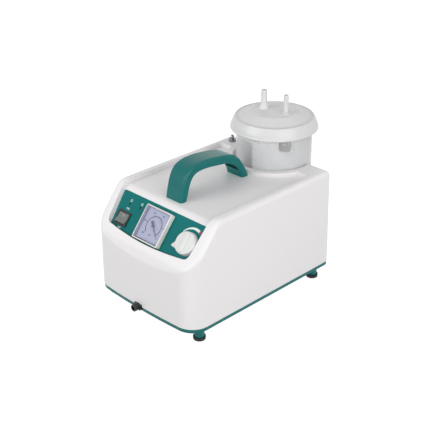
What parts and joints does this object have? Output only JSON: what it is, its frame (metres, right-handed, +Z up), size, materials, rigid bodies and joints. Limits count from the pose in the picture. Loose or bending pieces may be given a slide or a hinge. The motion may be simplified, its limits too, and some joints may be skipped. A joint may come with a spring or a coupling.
{
  "type": "vacuum aspirator",
  "caption": "Portable suction unit: a drafted case with a sloping control panel, an arched carrying handle, and a lidded collection jar in a well at the back.",
  "frame": {"origin": "on the table, under the middle of the whole outline", "axes": "+X to the right seen from the front, the front faces -Y, +Z up"},
  "size_m": [0.196, 0.3306, 0.2585],
  "materials": {
    "white_housing": "moulded, fine satin",
    "teal_plastic": "moulded, satin",
    "black_rubber": "matt",
    "zinc_steel": "zinc plated",
    "panel_film": "printed film, satin",
    "black_plastic": "moulded, semi gloss",
    "switch_grey": "moulded, semi gloss",
    "brass": "turned",
    "gauge_white": "moulded, gloss",
    "dial_print": "printed",
    "needle_dark": "painted",
    "lens_clear": "clear acrylic",
    "knob_grey": "moulded, semi gloss",
    "lamp_amber": "translucent",
    "lamp_green": "translucent",
    "jar_plastic": "translucent moulded",
    "lid_plastic": "moulded",
    "gasket_rubber": "silicone",
    "float_white": "hollow ball",
    "chrome_plate": "bright",
    "tinned_brass": "tinned",
    "fuse_glass": "glass tube, metal ends",
    "chassis_steel": "zinc and paint",
    "electrical_steel": "laminated",
    "copper_wire": "enamelled copper wire",
    "cast_aluminium": "die cast",
    "bearing_steel": "ground",
    "fan_plastic": "moulded",
    "diaphragm_rubber": "fabric reinforced",
    "hose_silicone": "translucent silicone"
  },
  "bodies": {
    "base": {"upper_housing": "white_housing", "base_tray": "teal_plastic", "rubber_feet": "black_rubber", "base_screws": "zinc_steel", "handle": "teal_plastic", "handle_screws": "zinc_steel", "control_panel": "panel_film", "switch_body": "black_plastic", "switch_blades": "brass", "gauge_case": "gauge_white", "gauge_dial": "dial_print", "gauge_lens": "lens_clear", "gauge_movement": "brass", "gauge_bourdon_tube": "brass", "gauge_stem": "brass", "regulator_valve": "brass", "regulator_nut": "zinc_steel", "power_lamp": "lamp_amber", "mode_lamp": "lamp_green", "vacuum_nozzle": "chrome_plate", "nozzle_nut": "brass", "foot_switch_socket": "black_plastic", "mains_inlet": "black_plastic", "mains_pins": "tinned_brass", "inlet_screws": "zinc_steel", "fuse_holder": "black_plastic", "pump_chassis": "chassis_steel", "rubber_mounts": "black_rubber", "motor_stator": "electrical_steel", "stator_coils": "copper_wire", "motor_bells": "cast_aluminium", "motor_bolts": "zinc_steel", "motor_bearings": "bearing_steel", "diaphragm": "diaphragm_rubber", "pump_body": "cast_aluminium", "valve_plate": "cast_aluminium", "reed_valves": "bearing_steel", "pump_cover": "cast_aluminium", "exhaust_muffler": "black_plastic", "head_screws": "zinc_steel", "vacuum_hoses": "hose_silicone"},
    "switch_key": {"switch_rocker": "switch_grey"},
    "knob": {"regulator_knob": "knob_grey", "regulator_spindle": "brass"},
    "needle": {"gauge_needle": "needle_dark"},
    "jar": {"jar": "jar_plastic"},
    "lid": {"jar_lid": "lid_plastic", "lid_gasket": "gasket_rubber", "float_cage": "lid_plastic"},
    "float": {"float_ball": "float_white"},
    "fuse_carrier": {"fuse_cap": "black_plastic", "fuse": "fuse_glass"},
    "rotor": {"motor_shaft": "bearing_steel", "rotor_core": "electrical_steel", "cooling_fan": "fan_plastic", "eccentric": "bearing_steel"},
    "rod": {"rod_bearing": "bearing_steel", "connecting_rod": "cast_aluminium", "diaphragm_clamp": "cast_aluminium"}
  },
  "joints": [
    {"name": "switch_hinge", "type": "hinge", "parent": "base", "child": "switch_key", "pos_m": [-0.0592, -0.12965, 0.12389], "axis": [1, 0, 0], "range_deg": [0, 22]},
    {"name": "knob_turn", "type": "hinge", "parent": "base", "child": "knob", "pos_m": [0.064, -0.12621, 0.13037], "axis": [0, 0.7727, -0.6347], "range_deg": [0, 150]},
    {"name": "needle_swing", "type": "hinge", "parent": "base", "child": "needle", "pos_m": [0, -0.12796, 0.13336], "axis": [0, -0.7727, 0.6347], "range_deg": [0, 270], "stiffness_Nm_per_rad": 0.0001},
    {"name": "jar_lift", "type": "slide", "parent": "base", "child": "jar", "axis": [0, 0, 1], "range_m": [0, 0.11]},
    {"name": "lid_lift", "type": "slide", "parent": "jar", "child": "lid", "axis": [0, 0, 1], "range_m": [0, 0.09]},
    {"name": "float_rise", "type": "slide", "parent": "lid", "child": "float", "axis": [0, 0, 1], "range_m": [0, 0.0358]},
    {"name": "fuse_draw", "type": "slide", "parent": "base", "child": "fuse_carrier", "axis": [0, 1, 0], "range_m": [0, 0.045]},
    {"name": "rotor_spin", "type": "hinge", "parent": "base", "child": "rotor", "pos_m": [0, 0, 0.0746], "axis": [0, 1, 0], "continuous": true},
    {"name": "rod_follow", "type": "hinge", "parent": "rotor", "child": "rod", "pos_m": [0, 0.0165, 0.0776], "axis": [0, 1, 0], "continuous": true, "deforming": ["diaphragm"]}
  ],
  "couplings": [
    {"joint": "rod_follow", "follows": "rotor_spin", "ratio": -1}
  ]
}
